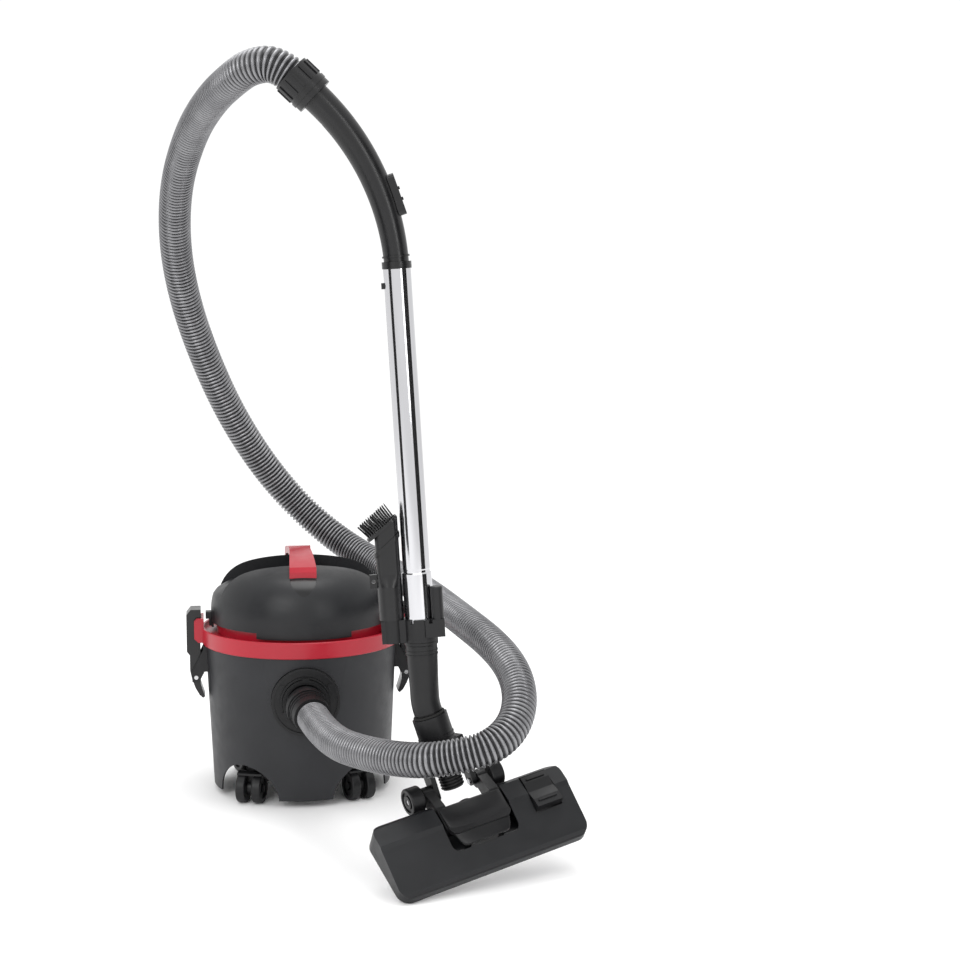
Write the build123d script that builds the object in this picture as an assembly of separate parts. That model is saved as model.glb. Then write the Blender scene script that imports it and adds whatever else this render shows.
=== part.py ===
from build123d import *
import os
from math import cos, pi, radians, sin, tan

# Commercial dry tub vacuum cleaner: a tub on four castors with a lift-off motor head, a
# corrugated hose, a chrome wand with a curved grip, and a floor head hanging from the wand.
#
# Everything is built about the tub's own axis, with X to the right, Y to the back and Z up,
# in millimetres, from a datum plane a little above the floor. save() moves it into the row's
# frame, whose origin lies on the floor under the centre of the bounding box of everything
# but the hose.

TUB_AXIS = (-90.5, 217.0)  # the tub's axis in the row's frame
FLOOR = -9.0  # height of the floor in the datum used here

# tub
TUB_BASE = 0.5  # height of the skirt's lower edge
TUB_FLOOR = 60.0
TUB_TOP = 228.0
TUB_BASE_RADIUS = 131.6
TUB_TAPER = 0.048  # radius gained per unit of height
WALL = 3.0
FIT = 0.05  # radial clearance of a running fit
GAP = 0.4  # clearance between pieces that only pass each other

# castors
CASTOR_SPREAD = (74.0, 78.0)  # x and y of each swivel axis
CASTOR_ANGLES = (-108.0, -70.0, 70.0, 115.0)  # the way each castor trails, about +Z from +X
CASTOR_TRAIL = 14.0
WHEEL_RADIUS = 21.5
WHEEL_WIDTH = 14.0
WEB_THICKNESS = 9.0
ARCH_AZIMUTH = 42.0
ARCH_HALF_WIDTH = 55.0
ARCH_TOP = 49.0

# red band round the tub's rim
BAND_LOW = 213.0
BAND_HIGH = 237.0
BAND_RADIUS = 147.0
BAND_BORE = 143.2
SHELF_HIGH = 231.0
SHELF_BORE = 112.0
LIP_BORE = 122.0

# motor head
SKIRT_LOW = 238.0
SKIRT_RADIUS = 133.0
BASE_PLATE_HIGH = 236.5
DOME_TOP = 336.0
TROUGH_HALF = 49.0
TROUGH_FLOOR = 299.0
LIFT_LUG_RADIUS = 141.0

# inlet at the front of the tub
INLET_HEIGHT = 151.0
INLET_FACE = -146.0
INLET_RADIUS = 49.3
CUFF_BEND = (0.0, -172.0, 149.0)
CUFF_DIRECTION = (0.149, -0.986, -0.074)
CUFF_LENGTH = 45.0
CUFF_END_RADIUS = 26.5

# latches on the tub's sides
LATCH_PIN = (156.0, 163.5)  # distance from the tub's axis, and height
LATCH_HALF = 17.0

# hose
HOSE_DIAMETER = 46.0
HOSE_BORE = 43.0

# wand, along its own axis from the bend of the neck
NECK_BEND = (142.0, -444.0, 215.8)
WAND_DIRECTION = (-0.0592, 0.0153, 0.9981)
WAND_SIDE = (0.996, -0.060, 0.060)
TUBE_RADIUS = 17.7
TUBE_BORE = 16.6
SOCKET_RADIUS = 19.0  # widened foot of the tube
SOCKET_BORE = 18.0
SOCKET_SPAN = (83.0, 172.0)
TUBE_TOP = 562.0
GRIP_ARC_RADIUS = 318.0
GRIP_ARC_ANGLE = 43.0
GRIP_START_RADIUS = 15.8
GRIP_END_RADIUS = 19.0
SWIVEL_CUFF_LENGTH = 42.0
SWIVEL_CUFF_RADIUS = 26.0
TOOL_OFFSET = -36.0
PEG_FOOT = 113.0

# floor head
HEAD_YAW = 22.35
HEAD_ROLL = 10.1
HEAD_NOSE_DOWN = 38.4
HEAD_CENTRE = (205.5, -489.0, 43.3)
HEAD_LENGTH = 280.0
HEAD_DEPTH = 104.0
HEAD_HEIGHT = 36.0
ROLLER_AXIS = (75.0, 20.0)  # y and z in the floor head's own frame
ROLLER_RADIUS = 18.0
TILT_AXIS = (20.0, 18.0)
NECK_DROP = 115.0  # from the bend of the neck to the roller axis
POCKET_HALF = 49.5


# ------------------------------------------------------------------ small helpers
def disc(radius, low, high):
    """Upright cylinder between two heights."""
    return Pos(0, 0, low) * Cylinder(
        radius, high - low, align=(Align.CENTER, Align.CENTER, Align.MIN)
    )


def ring(outer, inner, low, high):
    """Upright tube between two heights."""
    return disc(outer, low, high) - disc(inner, low - 1, high + 1)


def cone(low_radius, high_radius, low, high):
    """Upright frustum between two heights."""
    return Pos(0, 0, low) * Cone(
        low_radius, high_radius, high - low, align=(Align.CENTER, Align.CENTER, Align.MIN)
    )


def block(x, y, z):
    """Box from its (low, high) spans along each axis."""
    size = [span[1] - span[0] for span in (x, y, z)]
    middle = [(span[1] + span[0]) / 2 for span in (x, y, z)]
    return Pos(*middle) * Box(*size)


def turned(*points):
    """Solid of revolution about Z from (radius, height) points."""
    return revolve(make_face(Plane.XZ * Polyline(*points, close=True)), axis=Axis.Z)


def side_prism(points, x_low, x_high):
    """Prism along X from (y, z) points."""
    face = make_face(Plane.YZ.offset(x_low) * Polyline(*points, close=True))
    return extrude(face, amount=x_high - x_low, dir=(1, 0, 0))


def front_prism(points, y_low, y_high):
    """Prism along Y from (x, z) points."""
    face = make_face(Plane.XZ.offset(-y_high) * Polyline(*points, close=True))
    return extrude(face, amount=y_high - y_low, dir=(0, -1, 0))


def rod(start, end, radius):
    """Cylinder from one point to another."""
    along = Vector(*end) - Vector(*start)
    return Plane(origin=start, z_dir=along.normalized()) * disc(radius, 0, along.length)


def square_to(direction, axis):
    """Unit vector nearest to direction that is square to axis."""
    along = Vector(*axis).normalized()
    given = Vector(*direction)
    return (given - along * given.dot(along)).normalized()


def sector(radius, low, high, start, end):
    """Wedge of a disc between two azimuths, measured about +Z from -Y, in degrees."""
    face = Plane.XY.offset(low) * make_face(
        Polyline(
            (0, 0),
            *[
                (2 * radius * sin(radians(a)), -2 * radius * cos(radians(a)))
                for a in [start + (end - start) * i / 6 for i in range(7)]
            ],
            close=True,
        )
    )
    return extrude(face, amount=high - low)


def save(name, shape):
    """Write one node in the row's frame."""
    os.makedirs("parts", exist_ok=True)
    export_step(Pos(*TUB_AXIS, -FLOOR) * shape, f"parts/{name}.step")


def tub_radius(height):
    """Outer radius of the tub's tapered wall at a height."""
    return TUB_BASE_RADIUS + (height - TUB_BASE) * TUB_TAPER


WAND = Plane(
    origin=NECK_BEND,
    x_dir=square_to(WAND_SIDE, WAND_DIRECTION),
    z_dir=Vector(*WAND_DIRECTION).normalized(),
)


def head_plane():
    """Frame of the floor head: X along it, Y to its back, Z out of its top."""
    yaw, roll, pitch = (radians(a) for a in (HEAD_YAW, HEAD_ROLL, HEAD_NOSE_DOWN))
    along = Vector(cos(roll) * cos(yaw), cos(roll) * sin(yaw), sin(roll))
    level_back = Vector(-sin(yaw), cos(yaw), 0)
    back = level_back * cos(pitch) + along.cross(level_back) * sin(pitch)
    return Plane(origin=HEAD_CENTRE, x_dir=along, z_dir=along.cross(back))


HEAD = head_plane()
HINGE = HEAD.from_local_coords(Vector(0, *ROLLER_AXIS))
NECK = Plane(
    origin=HINGE,
    x_dir=HEAD.x_dir,
    z_dir=(Vector(*NECK_BEND) - HINGE).normalized(),
)


# ------------------------------------------------------------------ tub and castors
def castor_places():
    """Swivel axis and trailing angle of each castor."""
    x, y = CASTOR_SPREAD
    corners = ((-x, -y), (x, -y), (x, y), (-x, y))
    return list(zip(corners, CASTOR_ANGLES))


def wheel_arches():
    """Four elliptical cuts through the skirt, over the castors."""
    height = ARCH_TOP - TUB_BASE + 3
    arch = extrude(
        Plane.XZ.offset(80) * (Pos(0, TUB_BASE - 3) * Ellipse(ARCH_HALF_WIDTH, height)),
        amount=80,
    )
    spots = (ARCH_AZIMUTH, 180 - ARCH_AZIMUTH, 180 + ARCH_AZIMUTH, -ARCH_AZIMUTH)
    return [Rot(0, 0, spot) * arch for spot in spots]


def tub():
    """Tapered bucket with a raised floor, castor sockets and wheel arches."""
    def wall(low, high, inset):
        return cone(tub_radius(low) - inset, tub_radius(high) - inset, low, high)

    shell = wall(TUB_BASE, TUB_TOP, 0)
    shell -= wall(TUB_FLOOR + WALL, TUB_TOP + 5, WALL)
    shell -= wall(TUB_BASE - 5, TUB_FLOOR, WALL)
    for arch in wheel_arches():
        shell -= arch
    for (x, y), _ in castor_places():
        shell += Pos(x, y) * disc(10, FLOOR + 49, TUB_FLOOR + 1)
        shell -= Pos(x, y) * disc(4 + FIT, FLOOR + 45, FLOOR + 60)
    panel = front_prism(
        [(-62, 215), (62, 215), (48, INLET_HEIGHT), (-48, INLET_HEIGHT)], -170, -60
    )
    panel += Pos(0, -60, INLET_HEIGHT) * Rot(90, 0, 0) * disc(54, 0, 110)
    panel &= wall(90, BAND_LOW - 0.5, -1.4) - wall(80, BAND_LOW + 5, 1)
    shell += panel
    shell -= Pos(0, -60, INLET_HEIGHT) * Rot(90, 0, 0) * disc(INLET_RADIUS + 0.2, 0, 110)
    return shell


def castor_fork():
    """Hood, web and stem of a twin-wheel castor, trailing along +X."""
    web = block((-6, CASTOR_TRAIL), (-WEB_THICKNESS / 2, WEB_THICKNESS / 2), (16, 44))
    axle_boss = Pos(CASTOR_TRAIL, 0, WHEEL_RADIUS) * Rot(90, 0, 0)
    web += axle_boss * disc(9, -WEB_THICKNESS / 2, WEB_THICKNESS / 2)
    hood = axle_boss * ring(25.5, 22.7, -18.5, 18.5)
    hood &= block((-30, 24), (-20, 20), (27, 60))
    web += block((-2, 16), (-WEB_THICKNESS / 2, WEB_THICKNESS / 2), (38, 46.2))
    fork = web + hood + disc(11, 43.5, 48.6) + disc(4, 44, 59.5)
    return fork - axle_boss * disc(3 + FIT, -10, 10)


def castor_wheels():
    """Two wheels on one axle, trailing along +X."""
    inner = WEB_THICKNESS / 2 + GAP
    place = Pos(CASTOR_TRAIL, 0, WHEEL_RADIUS) * Rot(90, 0, 0)
    wheels = disc(3, -inner - 4, inner + 4)
    for side in (0, 180):
        tyre = disc(WHEEL_RADIUS, inner, inner + WHEEL_WIDTH)
        tyre = fillet(tyre.edges().filter_by(GeomType.CIRCLE), 2.5)
        tyre -= ring(15, 6, inner + WHEEL_WIDTH - 3, inner + WHEEL_WIDTH + 1)
        wheels += Rot(side, 0, 0) * tyre
    return place * wheels


# ------------------------------------------------------------------ rim, inlet and latches
def side_ear(side, front, back):
    """Red clevis block that carries a latch, on one side of the band."""
    outline = [
        (140, BAND_LOW + 3),
        (152, BAND_LOW + 3),
        (158, BAND_LOW + 9),
        (158, 248),
        (154, 252),
        (144, 252),
        (144, BAND_HIGH),
        (140, BAND_HIGH),
    ]
    ear = front_prism(outline, front, back)
    ear -= disc(BAND_BORE, 200, 260)
    slot = block((BAND_RADIUS + 0.5, 170), (-LATCH_HALF - 0.6, LATCH_HALF + 0.6), (200, 260))
    ear -= slot
    return ear if side > 0 else mirror(ear, about=Plane.YZ)


def rim_band():
    """Red ring: outer band, shelf for the head and an upright inner lip."""
    band = turned(
        (LIP_BORE, SHELF_HIGH - 3),
        (BAND_BORE - 0.6, SHELF_HIGH - 3),
        (BAND_BORE, SHELF_HIGH - 3.5),
        (BAND_BORE, BAND_LOW),
        (BAND_RADIUS - 1, BAND_LOW),
        (BAND_RADIUS, BAND_LOW + 1),
        (BAND_RADIUS + 0.6, BAND_HIGH - 1),
        (BAND_RADIUS - 0.4, BAND_HIGH),
        (BAND_BORE + 0.4, BAND_HIGH),
        (BAND_BORE, BAND_HIGH - 1),
        (BAND_BORE, SHELF_HIGH),
        (LIP_BORE + 3, SHELF_HIGH),
        (LIP_BORE + 3, 249),
        (LIP_BORE, 249),
    )
    band += ring(LIP_BORE + 0.5, SHELF_BORE, SHELF_HIGH - 3, SHELF_HIGH)
    return band + side_ear(-1, -23, 23) + side_ear(1, -58, 23)


def rim_gasket():
    """Rubber ring between the band's shelf and the head's base plate."""
    return ring(121.4, 116.4, SHELF_HIGH, SHELF_HIGH + 2)


def facing_front(shape):
    """Turn a shape built along +Z so that it points out of the inlet, along -Y."""
    return Pos(0, 0, INLET_HEIGHT) * Rot(90, 0, 0) * shape


def inlet_flange():
    """Round flange on the front of the tub, with a spigot into the dust bag."""
    face = -INLET_FACE
    flange = disc(INLET_RADIUS, face - 19, face)
    flange += ring(INLET_RADIUS, 45.5, face, face + 2)
    flange += ring(37.0, 34.2, face, face + 3.5)
    flange += disc(31, face - 34, face - 18)
    for angle in (35, 145):
        flange += Rot(0, 0, angle) * Pos(41, 0, face) * disc(2.6, -0.5, 1.2)
    return facing_front(flange - disc(26.5, 90, 170))


def lock_collar():
    """Twist ring that locks the hose cuff into the inlet."""
    face = -INLET_FACE + GAP
    collar = ring(33.6, 27.2, face, face + 7)
    for angle in (90, 210, 330):
        collar += Rot(0, 0, angle) * block((27.5, 36), (-5, 5), (face + 3.8, face + 7))
    return facing_front(collar)


def cuff_plane():
    """Frame at the bend of the inlet cuff, with Z towards the hose."""
    axis = Vector(*CUFF_DIRECTION).normalized()
    return Plane(origin=CUFF_BEND, x_dir=square_to((1, 0, 0), axis), z_dir=axis)


def inlet_cuff():
    """Bent cuff between the inlet and the hose."""
    spigot = facing_front(disc(25.5, 118, 172))
    knee = Pos(*CUFF_BEND) * Sphere(30)
    knee &= block((-40, 40), (-220, INLET_FACE - 8), (100, 200))
    sleeve = cone(29.4, CUFF_END_RADIUS, 0, CUFF_LENGTH)
    for height in (10, 18, 26):
        sleeve += disc(30.8 - height * 0.1, height, height + 3)
    bore = facing_front(disc(22, 100, 172)) + Pos(*CUFF_BEND) * Sphere(22.6)
    bore += cuff_plane() * disc(21.5, 0, CUFF_LENGTH + 1)
    return spigot + knee + cuff_plane() * sleeve - bore


def latch_brackets():
    """Two black brackets on the tub's sides that carry the latch pins."""
    radius, height = LATCH_PIN
    bracket = block((136, 145.6), (-21.6, 21.6), (172, 210))
    bracket -= cone(tub_radius(150) + 0.03, tub_radius(220) + 0.03, 150, 220)
    for low, high in ((LATCH_HALF + GAP, 21.6), (-21.6, -LATCH_HALF - GAP)):
        bracket += front_prism(
            [(141.5, 205), (145.6, 205), (162, 172), (162, 157), (152, 156), (141.5, 176)],
            low,
            high,
        )
    bracket -= Pos(radius, 0, height) * Rot(90, 0, 0) * disc(3 + FIT, -30, 30)
    return bracket + mirror(bracket, about=Plane.YZ)


def latch_pins():
    """Steel pins that the two latches turn on."""
    radius, height = LATCH_PIN
    pin = Pos(radius, 0, height) * Rot(90, 0, 0) * disc(3, -22.6, 22.6)
    return pin + mirror(pin, about=Plane.YZ)


def latch(side):
    """Rocking latch: hook block at the top, tapered tail at the bottom."""
    outline = [
        (148.0, 264.5),
        (163.0, 264.5),
        (169.3, 256.5),
        (169.3, 202.0),
        (165.0, 196.0),
        (165.0, 173.0),
        (162.2, 160.0),
        (157.4, 146.5),
        (151.5, 136.0),
        (146.5, 131.5),
        (143.6, 133.5),
        (146.4, 142.0),
        (149.4, 152.0),
        (149.4, 246.0),
        (148.0, 249.0),
    ]
    lever = front_prism(outline, -LATCH_HALF, LATCH_HALF)
    lever -= block((153, 160), (-LATCH_HALF + 3, LATCH_HALF - 3), (180, 244))
    radius, height = LATCH_PIN
    lever -= Pos(radius, 0, height) * Rot(90, 0, 0) * disc(3 + FIT, -30, 30)
    return lever if side > 0 else mirror(lever, about=Plane.YZ)


# ------------------------------------------------------------------ dust bag and filter
def dust_bag():
    """Filled paper bag with a short neck towards the inlet."""
    bag = Pos(0, 4, 119) * scale(Sphere(54), by=(1.96, 1.9, 1))
    bag &= block((-120, 120), (-120, 120), (TUB_FLOOR + WALL + 0.5, 172))
    return bag + facing_front(disc(21, 70, 109.5))


def bag_collar():
    """Card plate that slips over the inlet spigot."""
    card = block((-32, 32), (-111.6, -109.6), (INLET_HEIGHT - 30, INLET_HEIGHT + 30))
    card = fillet(card.edges().filter_by(Axis.Y), 8)
    return card - facing_front(disc(20, 100, 120))


def cloth_filter():
    """Hanging cloth cone with a stiff ring that lies on the band's shelf."""
    skin = cone(91, 101, 180, SHELF_HIGH) - cone(89, 99, 182, SHELF_HIGH + 0.01)
    return skin + ring(115.8, 99, SHELF_HIGH, SHELF_HIGH + 1.6)


# ------------------------------------------------------------------ motor head
def dome(inset):
    """Solid of the head's smooth dome, shrunk by an inset."""
    low = SKIRT_LOW - (5 if inset else 0)
    r, top = SKIRT_RADIUS - inset, DOME_TOP - inset
    crown = Spline(
        (r, 262),
        (129.5 - inset, 285 - inset * 0.4),
        (118 - inset * 0.9, 307.5 - inset * 0.8),
        (95 - inset * 0.5, 324 - inset),
        (50, 333.4 - inset),
        (0, top),
        tangents=[(0, 1), (-1, 0)],
    )
    outline = Polyline((0, top), (0, low), (r, low), (r, 262)) + crown
    return revolve(make_face(Plane.XZ * outline), axis=Axis.Z)


def trough(widen):
    """Space above the lowered strip that crosses the dome from side to side."""
    drop = widen
    floor = turned(
        (0, 200),
        (150, 200),
        (150, 262 - drop),
        (134, 279 - drop),
        (125, 291 - drop),
        (112, 299 - drop),
        (60, 301 - drop),
        (0, TROUGH_FLOOR - drop),
    )
    half = TROUGH_HALF + widen
    return block((-160, 160), (-half, half), (230, 345)) - floor


def skirt_windows():
    """Low cuts in the front of the skirt, each side of the nameplate area."""
    window = sector(150, SKIRT_LOW - 2, SKIRT_LOW + 8.5, 31, 83) - disc(120, 200, 300)
    return window + mirror(window, about=Plane.YZ)


def head_cover():
    """Domed cover with a trough under the handle, skirt windows and lift lugs."""
    shell = (dome(0) - trough(0)) - (dome(WALL) - trough(WALL))
    shell -= skirt_windows()
    shell -= sector(150, 252, 280, 150, 210) - disc(120, 200, 300)
    for side in (-1, 1):
        x_inner, x_outer = sorted((side * (SKIRT_RADIUS - 2), side * LIFT_LUG_RADIUS))
        shell += block((x_inner, x_outer), (-8, 8), (249, 259))
        x_inner, x_outer = sorted((side * (SKIRT_RADIUS - 2), side * (SKIRT_RADIUS + 3)))
        shell += block((x_inner, x_outer), (-5, 5), (SKIRT_LOW, 250))
    for angle in (45, 135, 225, 315):
        post = Rot(0, 0, angle) * Pos(103, 0) * disc(5.5, BASE_PLATE_HIGH, 335)
        shell += post & dome(1)
        shell -= Rot(0, 0, angle) * Pos(103, 0) * disc(1.9, 230, 262)
    shell -= button_outline(0.4, 280, 345)
    shell -= Rot(0, 0, 135) * Pos(0, 0, 266) * Rot(90, 0, 0) * disc(8.2, 120, 150)
    return shell - carry_handle()


def head_base():
    """Plate that carries the motor and lies on the rim gasket."""
    plate = disc(LIP_BORE - GAP, SHELF_HIGH + 2, BASE_PLATE_HIGH)
    plate -= disc(78.5, 200, 260)
    plate += ring(84, 78.5, SHELF_HIGH + 2, 243)
    for angle in (45, 135, 225, 315):
        plate -= Rot(0, 0, angle) * Pos(103, 0) * (disc(2.2, 200, 260) + disc(4, 225, 235.3))
    return plate


def cover_screws():
    """Screws that hold the cover to the base plate from below."""
    screw = disc(1.9, SHELF_HIGH + 2.2, 258) + disc(3.8, SHELF_HIGH + 2.2, 235.3)
    return [Rot(0, 0, angle) * Pos(103, 0) * screw for angle in (45, 135, 225, 315)]


def exhaust_grille():
    """Slotted panel over the exhaust window at the back."""
    panel = ring(SKIRT_RADIUS + 3.2, SKIRT_RADIUS, 248, 284)
    panel &= sector(150, 240, 290, 146, 214)
    for i in range(17):
        angle = 90 + (i - 8) * 3.6
        panel -= Rot(0, 0, angle) * block((120, 145), (-2, 2), (253, 279))
    return panel


def exhaust_filter():
    """Foam pad behind the exhaust grille."""
    return ring(128.6, 123.5, 251, 272) & sector(150, 240, 290, 148, 212)


def cable_gland():
    """Rubber gland for the mains cable, low on the head's right back."""
    gland = disc(8, 126, 148) + disc(10.5, 133.5, 137)
    gland -= disc(3.9, 120, 150)
    return Rot(0, 0, 135) * Pos(0, 0, 266) * Rot(90, 0, 0) * gland


def carry_handle():
    """Red bar over the trough, from a lip at the front to a lip at the back."""
    outer = ThreePointArc((-95, 338), (0, 350.5), (95, 338))
    front = Polyline((-95, 338), (-98, 331), (-97, 316), (-84, 316), (-84, 329))
    inner = ThreePointArc((-84, 329), (0, 340), (84, 329))
    back = Polyline((84, 329), (84, 316), (97, 316), (98, 331), (95, 338))
    side = make_face(Plane.YZ.offset(-20) * (outer + front + inner + back))
    bar = extrude(side, amount=40, dir=(1, 0, 0))
    plan = [(-20, -110), (-15.5, 0), (-20, 110), (20, 110), (15.5, 0), (20, -110)]
    waist = extrude(make_face(Polyline(*plan, close=True)), amount=400, dir=(0, 0, 1))
    return (bar & waist) - dome(1.2)


def button_outline(grow, low, high):
    """Upright prism with the shield shape of the power button."""
    half = 18.5 + grow
    front = Line((-half, -100 + grow), (half, -100 + grow))
    sides = Spline(
        (half, -100 + grow),
        (half - 1, -108),
        (10, -119 - grow),
        (0, -123 - grow),
        (-10, -119 - grow),
        (-half + 1, -108),
        (-half, -100 + grow),
    )
    return extrude(Plane.XY.offset(low) * make_face(front + sides), amount=high - low)


def power_button():
    """Shield-shaped push button in the dome's front shoulder."""
    return (dome(0.6) - dome(4.0)) & button_outline(0, 284, 330)


def power_switch():
    """Switch body behind the power button."""
    return block((-9, 9), (-106, -92), (262, 300)) & dome(WALL + 6)


def motor_case():
    """Steel can of the motor, open at the bottom onto the fan case."""
    can = ring(44, 42, 246.5, 289) + disc(44, 287, 289)
    return can - disc(7, 280, 295)


def fan_case():
    """Spun can around the impeller, with the inlet eye below."""
    can = ring(72, 70, 214, 246) + ring(70.5, 22, 214, 216) + ring(70.5, 41, 244, 246.5)
    return can


def motor_bearings():
    """Top and bottom bearings of the motor shaft."""
    spider = block((-43, 43), (-4, 4), (247, 253)) & disc(42, 240, 260)
    lower = disc(12, 247, 253) + spider - disc(4 + FIT, 240, 260)
    return lower + ring(11, 4 + FIT, 281, 287)


def armature():
    """Wound armature on its shaft."""
    return disc(4, 220, 286.5) + disc(27, 256, 276) + disc(12, 276.5, 280)


def impeller():
    """Centrifugal fan: two plates with straight vanes."""
    fan = ring(62, 4, 234, 236) + ring(62, 24, 220, 222)
    for i in range(9):
        fan += Rot(0, 0, i * 40) * block((24, 61), (-1, 1), (221.5, 234.5))
    return fan


def motor_ring():
    """Rubber ring that holds the fan case in the base plate."""
    return ring(78.4, 72.05, SHELF_HIGH + 2, 241)


def filter_basket():
    """Open cage below the fan that keeps the cloth off the intake."""
    cage = ring(84, 81.5, 190, SHELF_HIGH + 2) + ring(84, 50, 187, 190)
    cage += ring(90, 81.5, SHELF_HIGH - 0.5, SHELF_HIGH + 2)
    for i in range(16):
        cage -= Rot(0, 0, i * 22.5) * block((70, 95), (-9, 9), (196, 222))
    return cage


def suppressor():
    """Interference suppressor beside the motor."""
    return Pos(0, 58) * disc(10, 250, 276) + block((-11, 11), (47, 68), (246.5, 251))


# ------------------------------------------------------------------ wand and grip
def grip_point(angle):
    """Point on the grip's arc, in the wand's own frame."""
    turn = radians(angle)
    reach = GRIP_ARC_RADIUS
    return Vector(-reach * (1 - cos(turn)), 0, TUBE_TOP + reach * sin(turn))


def grip_plane(angle):
    """Frame on the grip's arc: Z along it, X away from the arc's centre."""
    turn = radians(angle)
    local = Plane(
        origin=grip_point(angle),
        x_dir=(cos(turn), 0, sin(turn)),
        z_dir=(-sin(turn), 0, cos(turn)),
    )
    return Plane(WAND.location * local.location)


def grip_solid(grow):
    """Tapered tube body along the grip's arc, grown or shrunk by a thickness."""
    sections = []
    for i in range(6):
        share = i / 5
        radius = GRIP_START_RADIUS + (GRIP_END_RADIUS - GRIP_START_RADIUS) * share
        place = grip_plane(GRIP_ARC_ANGLE * share)
        sections.append(place * Circle(radius + grow))
    return loft(sections)


def grip_handle():
    """Curved grip, plugged into the tube, with an end flange for the hose."""
    body = grip_solid(0)
    body += WAND * disc(TUBE_BORE - FIT, TUBE_TOP - 40, TUBE_TOP + 0.5)
    body += WAND * disc(TUBE_RADIUS + 1.2, TUBE_TOP + 0.2, TUBE_TOP + 9)
    body += grip_plane(2.6) * disc(17.6, 0, 2.4)
    end = grip_plane(GRIP_ARC_ANGLE)
    body += end * disc(22.6, 14, 18) + end * disc(GRIP_END_RADIUS, -0.2, 14)
    body -= grip_solid(-2.8)
    body -= WAND * disc(13.2, TUBE_TOP - 50, TUBE_TOP + 1)
    body -= end * disc(16.2, -1, 20)
    body -= WAND * (Pos(0, 0, 541) * Rot(0, -90, 0) * disc(5, 5, 25))
    vent = Pos(10, 0, 0) * Rot(0, 90, 0) * disc(4, 0, 12)
    return body - grip_plane(15) * vent


def suction_slider():
    """Sliding cover over the bleed hole on the outside of the grip."""
    place = grip_plane(16)
    plate = block((13, 23), (-11, 11), (-27, 27))
    plate = fillet(plate.edges().filter_by(Axis.X), 6)
    plate += block((22, 25), (-8, 8), (-9, -5)) + block((22, 25), (-8, 8), (5, 9))
    return place * plate - grip_solid(0.6)


def swivel_cuff():
    """Loose cuff that lets the hose turn at the end of the grip."""
    end = grip_plane(GRIP_ARC_ANGLE)
    cuff = ring(SWIVEL_CUFF_RADIUS, 23.4, 4, 4 + SWIVEL_CUFF_LENGTH)
    cuff += ring(SWIVEL_CUFF_RADIUS, GRIP_END_RADIUS + 0.6, 4, 8)
    cuff += ring(SWIVEL_CUFF_RADIUS + 1.2, 23.5, 12, 18)
    for i in range(12):
        cuff += Rot(0, 0, i * 30) * block((25, 27.6), (-1.6, 1.6), (21, 43))
    return end * cuff


def wand_tube():
    """Chromed tube, widened at its foot over the neck, with a crimped groove above."""
    low, high = SOCKET_SPAN
    tube = turned(
        (SOCKET_BORE, low),
        (SOCKET_RADIUS, low),
        (SOCKET_RADIUS, high),
        (TUBE_RADIUS - 0.3, high + 1.5),
        (TUBE_RADIUS - 0.3, high + 4.5),
        (TUBE_RADIUS, high + 6),
        (TUBE_RADIUS, TUBE_TOP),
        (TUBE_BORE, TUBE_TOP),
        (TUBE_BORE, high),
        (SOCKET_BORE, high - 4),
    )
    hole = Pos(-TUBE_RADIUS, 0, 541) * Rot(0, 90, 0) * disc(4 + FIT, -5, 5)
    return WAND * (tube - hole)


def snap_button():
    """Sprung button that locks the grip into the tube."""
    stem = Pos(0, 0, 541) * Rot(0, -90, 0) * disc(4, TUBE_BORE + GAP, TUBE_RADIUS + 3.5)
    return WAND * stem


def neck():
    """Bent plastic neck: flared rim and spigot above, spigot for the swivel below."""
    bend = Vector(*NECK_BEND)
    high = bend + WAND.z_dir * 22
    low = bend - NECK.z_dir * 12
    path = FilletPolyline(high, bend, low, radius=75)
    start = Plane(origin=high, z_dir=bend - high)
    body = sweep(start * Circle(18.8), path=path)
    body += WAND * turned(
        (0, 21.8), (18.8, 21.8), (19.4, 40), (20.5, 76), (20.5, 78), (22, 79), (22, 82.6),
        (SOCKET_BORE - FIT, 82.6), (SOCKET_BORE - FIT, 119), (17.3, 120), (0, 120),
    )
    for height in (65, 70):
        body += WAND * disc(21.0, height, height + 1.6)
    body += NECK * disc(16, NECK_DROP - 37, NECK_DROP - 8)
    body -= sweep(start * Circle(14), path=path)
    body -= WAND * disc(14.5, 21.5, 130)
    return body - NECK * disc(14, 40, NECK_DROP - 11)


def neck_seal():
    """Rubber ring on the neck's lower spigot, above the swivel collar."""
    return NECK * ring(21.0, 16.0, NECK_DROP - 15.2, NECK_DROP - 12.4)


def tool_holder():
    """Clip round the tube's foot with two upright pegs for small tools."""
    bore = SOCKET_RADIUS + FIT
    body = disc(22.0, 83, PEG_FOOT)
    body += block((TOOL_OFFSET - 14.2, -15), (-11, 11), (83, PEG_FOOT))
    body += Pos(TOOL_OFFSET, 0) * disc(14.2, 83, PEG_FOOT + 25)
    body += block((6, 31), (-23, -7), (90, PEG_FOOT))
    peg = disc(8, 90, PEG_FOOT + 42)
    body += Pos(23, -15) * chamfer(peg.edges().group_by(Axis.Z)[-1], 1.5)
    body -= disc(bore, 80, 200)
    for angle in (-30, 30):
        body -= Rot(0, 0, angle) * block((-2, 2), (-30, -16), (PEG_FOOT - 5, PEG_FOOT + 1))
    return WAND * body


def tool_slant(height):
    """Plane of the tool's slanted mouth, at a height on the tool's axis."""
    return Plane(origin=(-3.5, 0, PEG_FOOT + height), x_dir=(0, 1, 0), z_dir=(-0.62, 0, 0.785))


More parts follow.
